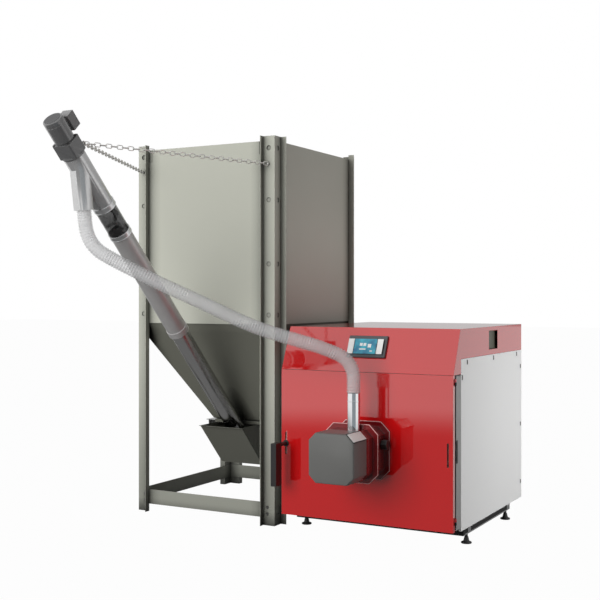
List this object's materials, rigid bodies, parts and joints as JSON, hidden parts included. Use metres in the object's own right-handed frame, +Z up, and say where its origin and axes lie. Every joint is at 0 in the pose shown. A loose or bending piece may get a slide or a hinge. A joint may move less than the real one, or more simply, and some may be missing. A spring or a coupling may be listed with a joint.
{
  "type": "pellet boiler",
  "caption": "Floor-standing pellet boiler with a burner on its door, a fuel hopper on posts, an inclined screw feeder with its drive, and a ribbed hose from feeder to burner",
  "frame": {"origin": "middle of the whole object's footprint, on the floor", "axes": "X across the boiler, from the hopper to the boiler; Y from the burner's front to the flue at the back; Z up"},
  "size_m": [1.7114, 2.0496, 1.8],
  "materials": {
    "hopper_paint": "satin grey-green paint on folded sheet",
    "funnel_paint": "the same paint on the shaded funnel sheets",
    "bare_steel": "plain drawn or rolled steel",
    "window_plastic": "clear plastic tube",
    "cast_dark": "dark grey paint on cast aluminium",
    "hose_plastic": "whitish see-through hose with ribs",
    "base_black": "black paint",
    "vessel_paint": "dull grey paint on welded plate",
    "casing_white": "fine matt light grey powder coat",
    "boiler_red": "glossy red powder coat",
    "display_glass": "dark controller face with a lit screen",
    "refractory": "pressed mineral board",
    "black_plastic": "moulded black plastic",
    "cover_plastic": "dark grey satin cover"
  },
  "bodies": {
    "root": {"post_front_right": "hopper_paint", "post_front_left": "hopper_paint", "post_rear_right": "hopper_paint", "post_rear_left": "hopper_paint", "bottom_frame": "hopper_paint", "top_frame": "hopper_paint", "wall_front": "hopper_paint", "wall_rear": "hopper_paint", "wall_right": "hopper_paint", "wall_left": "hopper_paint", "funnel_front": "funnel_paint", "funnel_rear": "funnel_paint", "funnel_right": "funnel_paint", "funnel_left": "funnel_paint", "outlet_frame": "funnel_paint", "trough": "funnel_paint", "auger_tube_lower": "bare_steel", "auger_tube_upper": "bare_steel", "window_ring_lower": "bare_steel", "window_ring_upper": "bare_steel", "auger_head": "bare_steel", "chain_eye": "bare_steel", "chain_right": "bare_steel", "chain_left": "bare_steel", "smoke_box_lid": "bare_steel", "turbulators": "bare_steel", "flue_collar": "bare_steel", "flow_pipe": "bare_steel", "return_pipe": "bare_steel", "ash_pan": "bare_steel", "auger_window": "window_plastic", "drive_housing": "cast_dark", "motor": "cast_dark", "terminal_box": "cast_dark", "foot_front_left": "cast_dark", "foot_front_right": "cast_dark", "foot_rear_left": "cast_dark", "foot_rear_right": "cast_dark", "feed_hose": "hose_plastic", "base_frame": "base_black", "hinge_upper": "base_black", "hinge_lower": "base_black", "boiler_body": "vessel_paint", "side_panel_left": "casing_white", "side_panel_right": "casing_white", "back_panel": "casing_white", "hood": "boiler_red", "display": "display_glass"},
    "gate": {"slide_gate": "bare_steel"},
    "screw": {"auger_screw": "bare_steel"},
    "door": {"door": "boiler_red", "door_insulation": "refractory", "burner_rear_housing": "boiler_red", "burner_front_housing": "boiler_red", "burner_cover": "cover_plastic", "burner_tube": "bare_steel", "inlet_pipe": "bare_steel"},
    "handle": {"door_handle": "black_plastic"},
    "fan": {"fan_wheel": "bare_steel"},
    "knob": {"clamp_knob": "black_plastic"}
  },
  "joints": [
    {"name": "door_hinge", "type": "hinge", "parent": "root", "child": "door", "pos_m": [0.8482, 0.01707, 0.4], "axis": [0, 0, 1], "range_deg": [0, 70], "deforming": ["feed_hose"]},
    {"name": "handle_turn", "type": "hinge", "parent": "door", "child": "handle", "pos_m": [0.0595, -0.06893, 0.402], "axis": [0, -1, 0], "range_deg": [0, 90]},
    {"name": "knob_turn", "type": "hinge", "parent": "door", "child": "knob", "pos_m": [0.5577, -0.03903, 0.433], "axis": [1, 0, 0], "range_deg": [0, 360]},
    {"name": "fan_turn", "type": "hinge", "parent": "door", "child": "fan", "pos_m": [0.4424, -0.23893, 0.402], "axis": [0, 1, 0], "continuous": true},
    {"name": "screw_turn", "type": "hinge", "parent": "root", "child": "screw", "pos_m": [-0.4163, 0.47707, 0.255], "axis": [0, -0.7038, 0.7104], "continuous": true},
    {"name": "gate_slide", "type": "slide", "parent": "root", "child": "gate", "axis": [-1, 0, 0], "range_m": [0, 0.235]}
  ]
}
